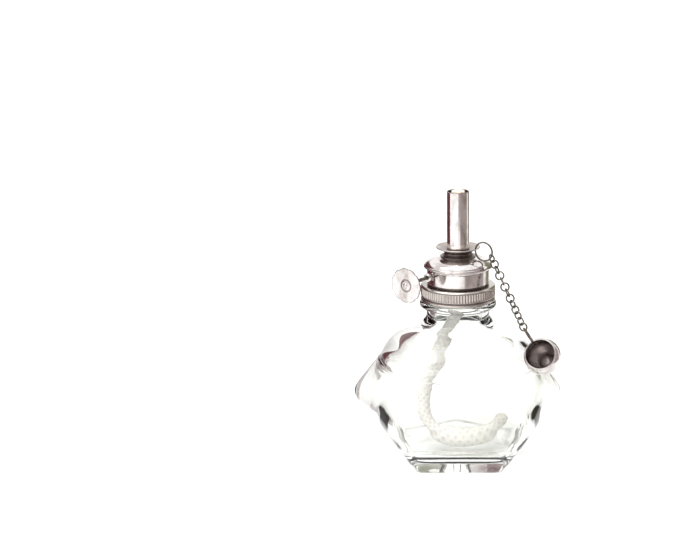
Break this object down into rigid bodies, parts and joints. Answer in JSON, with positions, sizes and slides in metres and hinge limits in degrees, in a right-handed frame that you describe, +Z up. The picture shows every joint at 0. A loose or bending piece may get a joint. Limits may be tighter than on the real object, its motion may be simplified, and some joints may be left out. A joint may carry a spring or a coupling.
{
  "type": "faceted glass spirit lamp",
  "caption": "Clear faceted glass spirit lamp with a knurled screw burner, tall wick tube, wick-raising knob and a snuffer cap hanging on a chain.",
  "frame": {"origin": "centre of the five-sided foot, on the surface that the lamp stands on", "axes": "+Z up along the wick tube, -Y square to one flat side, the knob at the front left and the chain at the front right"},
  "size_m": [0.093, 0.0895, 0.1215],
  "materials": {
    "clear_glass": "clear pressed glass, faint olive in its thick edges",
    "bright_nickel": "bright nickel plate on pressed brass sheet",
    "dull_nickel": "nickel plate, unpolished inside",
    "steel_wire": "drawn and nickel-plated steel wire",
    "brass": "stamped brass",
    "cotton_wick": "braided undyed cotton",
    "cork": "pressed cork"
  },
  "bodies": {
    "font": {"glass_font": "clear_glass"},
    "washer": {"seal_washer": "cork"},
    "burner": {"screw_collar": "bright_nickel", "burner_base": "dull_nickel", "burner_drum": "bright_nickel", "dome_lid": "bright_nickel", "saucer": "bright_nickel", "wick_tube": "bright_nickel", "wick_guide": "dull_nickel", "spindle_bush": "dull_nickel"},
    "spindle": {"spindle": "steel_wire", "feed_wheel_1": "brass", "feed_wheel_2": "brass", "knob": "bright_nickel"},
    "wick": {"wick": "cotton_wick", "wick_tail": "cotton_wick"},
    "anchor_ring": {"anchor_ring": "steel_wire"},
    "chain_link_01": {"chain_link_01": "steel_wire"},
    "chain_link_02": {"chain_link_02": "steel_wire"},
    "chain_link_03": {"chain_link_03": "steel_wire"},
    "chain_link_04": {"chain_link_04": "steel_wire"},
    "chain_link_05": {"chain_link_05": "steel_wire"},
    "chain_link_06": {"chain_link_06": "steel_wire"},
    "chain_link_07": {"chain_link_07": "steel_wire"},
    "chain_link_08": {"chain_link_08": "steel_wire"},
    "chain_link_09": {"chain_link_09": "steel_wire"},
    "chain_link_10": {"chain_link_10": "steel_wire"},
    "chain_link_11": {"chain_link_11": "steel_wire"},
    "chain_link_12": {"chain_link_12": "steel_wire"},
    "chain_link_13": {"chain_link_13": "steel_wire"},
    "cap_ring": {"cap_ring": "steel_wire"},
    "snuffer_cap": {"snuffer_cap": "bright_nickel"}
  },
  "joints": [
    {"name": "burner_lift", "type": "slide", "parent": "font", "child": "washer", "axis": [0, 0, 1], "range_m": [0, 0.0038]},
    {"name": "burner_turn", "type": "hinge", "parent": "washer", "child": "burner", "pos_m": [0, 0, 0.0764], "axis": [0, 0, 1], "range_deg": [0, 540]},
    {"name": "wick_feed", "type": "slide", "parent": "burner", "child": "wick", "axis": [0, 0, 1], "range_m": [-0.0015, 0.01], "deforming": ["wick_tail"]},
    {"name": "spindle_turn", "type": "hinge", "parent": "burner", "child": "spindle", "pos_m": [-0.0057, 0.00406, 0.084], "axis": [-0.5807, -0.8141, 0], "range_deg": [-22.5, 149]},
    {"name": "anchor_ring_swing", "type": "hinge", "parent": "burner", "child": "anchor_ring", "pos_m": [0.00738, -0.00452, 0.0955], "axis": [-0.5225, -0.8526, 0], "range_deg": [0, 45]},
    {"name": "chain_link_01_swing", "type": "hinge", "parent": "anchor_ring", "child": "chain_link_01", "pos_m": [0.01403, -0.0086, 0.09349], "axis": [-0.3871, 0.2372, -0.891], "range_deg": [-15, 15]},
    {"name": "chain_link_02_swing", "type": "hinge", "parent": "chain_link_01", "child": "chain_link_02", "pos_m": [0.01501, -0.0092, 0.09139], "axis": [-0.5225, -0.8526, 0], "range_deg": [0, 15]},
    {"name": "chain_link_03_swing", "type": "hinge", "parent": "chain_link_02", "child": "chain_link_03", "pos_m": [0.01611, -0.00987, 0.08902], "axis": [0.8097, -0.3431, 0.4761], "range_deg": [-15, 15]},
    {"name": "chain_link_04_swing", "type": "hinge", "parent": "chain_link_03", "child": "chain_link_04", "pos_m": [0.01722, -0.01055, 0.08666], "axis": [-0.3111, -0.9422, 0.1243], "range_deg": [0, 15]},
    {"name": "chain_link_05_swing", "type": "hinge", "parent": "chain_link_04", "child": "chain_link_05", "pos_m": [0.01832, -0.01123, 0.08429], "axis": [-0.8909, 0.0971, -0.4437], "range_deg": [0, 15]},
    {"name": "chain_link_06_swing", "type": "hinge", "parent": "chain_link_05", "child": "chain_link_06", "pos_m": [0.01943, -0.01191, 0.08192], "axis": [-0.0786, -0.9676, 0.2401], "range_deg": [0, 15]},
    {"name": "chain_link_07_swing", "type": "hinge", "parent": "chain_link_06", "child": "chain_link_07", "pos_m": [0.02053, -0.01258, 0.07955], "axis": [-0.9114, -0.1555, -0.381], "range_deg": [0, 15]},
    {"name": "chain_link_08_swing", "type": "hinge", "parent": "chain_link_07", "child": "chain_link_08", "pos_m": [0.02164, -0.01326, 0.07718], "axis": [0.1594, -0.927, 0.3396], "range_deg": [0, 15]},
    {"name": "chain_link_09_swing", "type": "hinge", "parent": "chain_link_08", "child": "chain_link_09", "pos_m": [0.02275, -0.01394, 0.07481], "axis": [-0.8698, -0.3974, -0.2923], "range_deg": [0, 15]},
    {"name": "chain_link_10_swing", "type": "hinge", "parent": "chain_link_09", "child": "chain_link_10", "pos_m": [0.02385, -0.01462, 0.07245], "axis": [0.3864, -0.8232, 0.4159], "range_deg": [0, 15]},
    {"name": "chain_link_11_swing", "type": "hinge", "parent": "chain_link_10", "child": "chain_link_11", "pos_m": [0.02496, -0.01529, 0.07008], "axis": [-0.7689, -0.6124, -0.1838], "range_deg": [0, 15]},
    {"name": "chain_link_12_swing", "type": "hinge", "parent": "chain_link_11", "child": "chain_link_12", "pos_m": [0.02606, -0.01597, 0.06771], "axis": [0.5872, -0.6634, 0.4639], "range_deg": [-15, 15]},
    {"name": "chain_link_13_swing", "type": "hinge", "parent": "chain_link_12", "child": "chain_link_13", "pos_m": [0.02717, -0.01665, 0.06534], "axis": [-0.6156, -0.7855, -0.0627], "range_deg": [0, 15]},
    {"name": "cap_ring_swing", "type": "hinge", "parent": "chain_link_13", "child": "cap_ring", "pos_m": [0.02827, -0.01733, 0.06297], "axis": [0.7479, -0.4583, 0.4802], "range_deg": [-20, 20]},
    {"name": "snuffer_cap_swing", "type": "hinge", "parent": "cap_ring", "child": "snuffer_cap", "pos_m": [0.02988, -0.01984, 0.06119], "axis": [-0.8312, -0.0352, -0.5548], "range_deg": [0, 25]}
  ],
  "couplings": [
    {"joint": "burner_lift", "follows": "burner_turn", "m_per_rad": 0.00039789},
    {"joint": "spindle_turn", "follows": "wick_feed", "rad_per_m": 259.74}
  ]
}
